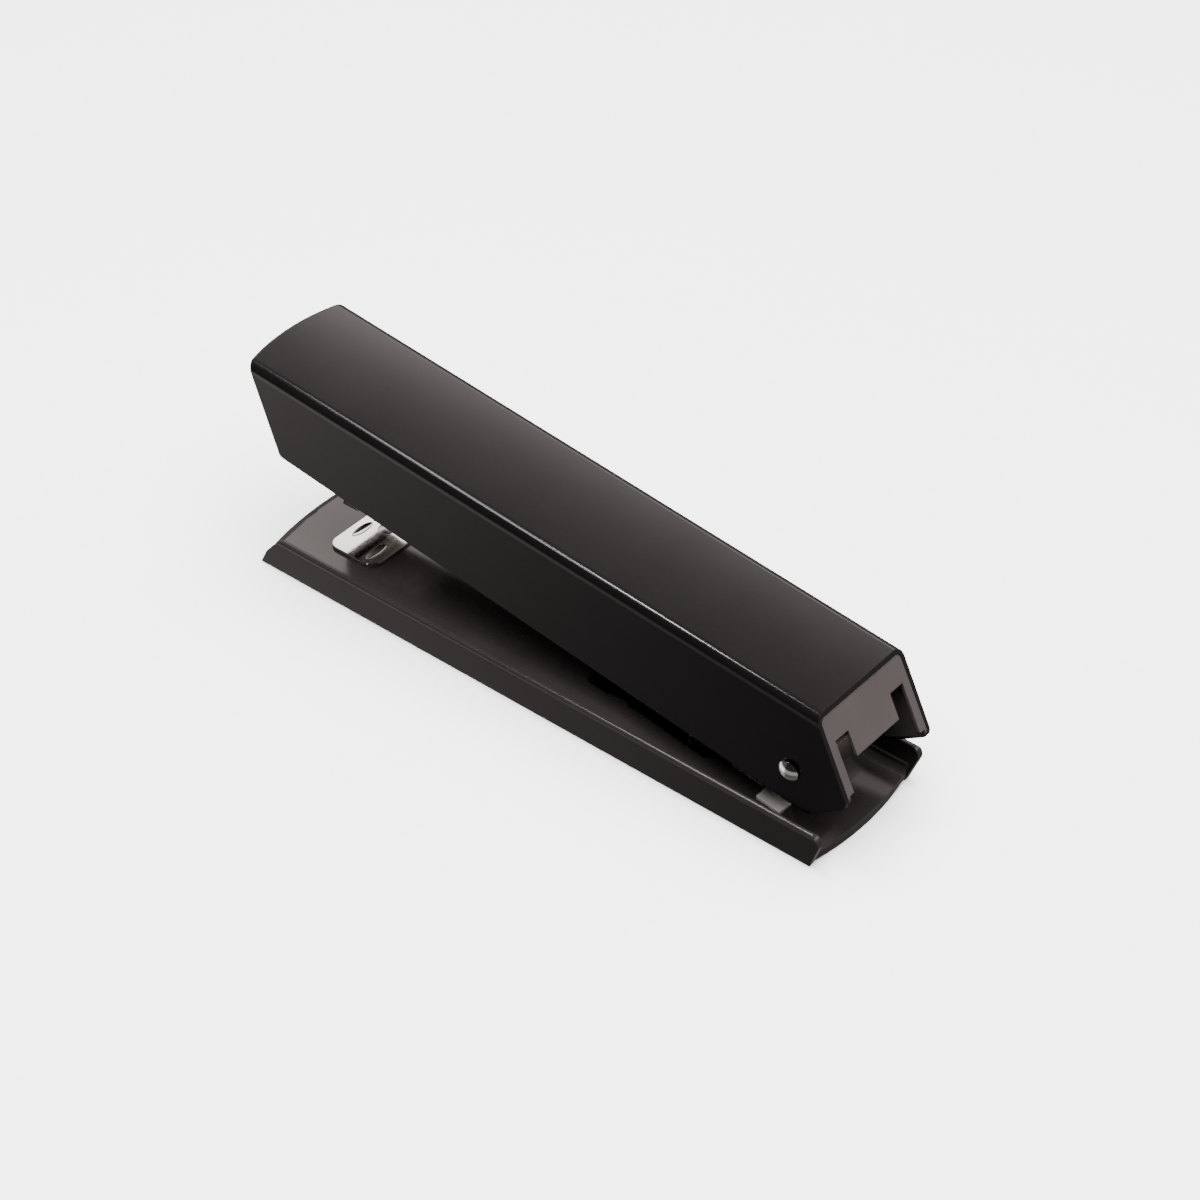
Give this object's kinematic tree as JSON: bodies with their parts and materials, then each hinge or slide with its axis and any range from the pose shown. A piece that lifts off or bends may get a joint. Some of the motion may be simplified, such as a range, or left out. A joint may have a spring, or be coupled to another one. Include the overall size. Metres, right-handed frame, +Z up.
{
  "type": "stapler",
  "caption": "Full-strip desk stapler in sheet metal: tray base with a turning anvil, a sprung magazine and a cover that pivots on a rear pin.",
  "frame": {"origin": "centre of the flat underside, midway along the base's side walls", "axes": "+X towards the hinge at the rear, -X towards the anvil at the front, +Z up"},
  "size_m": [0.2021, 0.045, 0.0657],
  "materials": {
    "cover_enamel": "gloss black enamel",
    "base_enamel": "gloss black enamel",
    "liner_enamel": "satin dark grey enamel",
    "pad_rubber": "matte black, finely ribbed",
    "bracket_steel": "plain rolled sheet steel",
    "rivet_steel": "turned steel",
    "pin_chrome": "polished dome",
    "black_spring_steel": "blackened spring steel",
    "anvil_chrome": "bright nickel plate",
    "post_steel": "bright turned steel",
    "spring_wire": "drawn wire",
    "magazine_steel": "nickel plated sheet",
    "nose_steel": "nickel plated sheet",
    "rail_steel": "zinc plated sheet",
    "staple_zinc": "galvanised wire, glued in strips",
    "rod_steel": "drawn rod",
    "pusher_steel": "satin black",
    "blade_steel": "hardened, ground",
    "leaf_steel": "tempered spring steel"
  },
  "bodies": {
    "base": {"base_channel": "base_enamel", "base_pad": "pad_rubber", "hinge_bracket": "bracket_steel", "bracket_rivets": "rivet_steel", "hinge_pin": "pin_chrome", "hinge_spacers": "rivet_steel", "lift_spring": "black_spring_steel", "spring_rivets": "rivet_steel", "anvil_spring": "spring_wire"},
    "anvil_lifter": {"anvil_post": "post_steel"},
    "anvil": {"anvil_plate": "anvil_chrome"},
    "magazine": {"magazine_channel": "magazine_steel", "staple_rail": "rail_steel", "rail_rivets": "rivet_steel", "magazine_nose": "nose_steel", "staple_strip": "staple_zinc", "guide_rod": "rod_steel", "rod_bridge": "rail_steel", "rear_stop": "rail_steel", "pusher_spring": "spring_wire"},
    "follower": {"pusher": "pusher_steel"},
    "cover": {"cover_shell": "cover_enamel", "cover_liner": "liner_enamel", "driver_blade": "blade_steel", "driver_holder": "rail_steel", "driver_rivets": "rivet_steel", "cover_spring": "leaf_steel", "cover_spring_rivet": "rivet_steel"}
  },
  "joints": [
    {"name": "magazine_hinge", "type": "hinge", "parent": "base", "child": "magazine", "pos_m": [0.0852, 0, 0.0249], "axis": [0, 1, 0], "range_deg": [-2.9, 40], "stiffness_Nm_per_rad": 4, "springref_deg": 4.33, "deforming": ["lift_spring"]},
    {"name": "cover_hinge", "type": "hinge", "parent": "magazine", "child": "cover", "pos_m": [0.0852, 0, 0.0249], "axis": [0, 1, 0], "range_deg": [-4.6, 80], "stiffness_Nm_per_rad": 4, "springref_deg": 3.36, "deforming": ["cover_spring"]},
    {"name": "follower_slide", "type": "slide", "parent": "magazine", "child": "follower", "axis": [0.9985, 0, -0.0541], "range_m": [0, 0.018], "stiffness_N_per_m": 60, "springref_m": -0.05, "deforming": ["pusher_spring"]},
    {"name": "anvil_lift", "type": "slide", "parent": "base", "child": "anvil_lifter", "axis": [0, 0, 1], "range_m": [0, 0.001], "stiffness_N_per_m": 400, "springref_m": -0.003, "deforming": ["anvil_spring"]},
    {"name": "anvil_turn", "type": "hinge", "parent": "anvil_lifter", "child": "anvil", "pos_m": [-0.0668, 0, 0.0126], "axis": [0, 0, 1], "range_deg": [0, 180]}
  ]
}
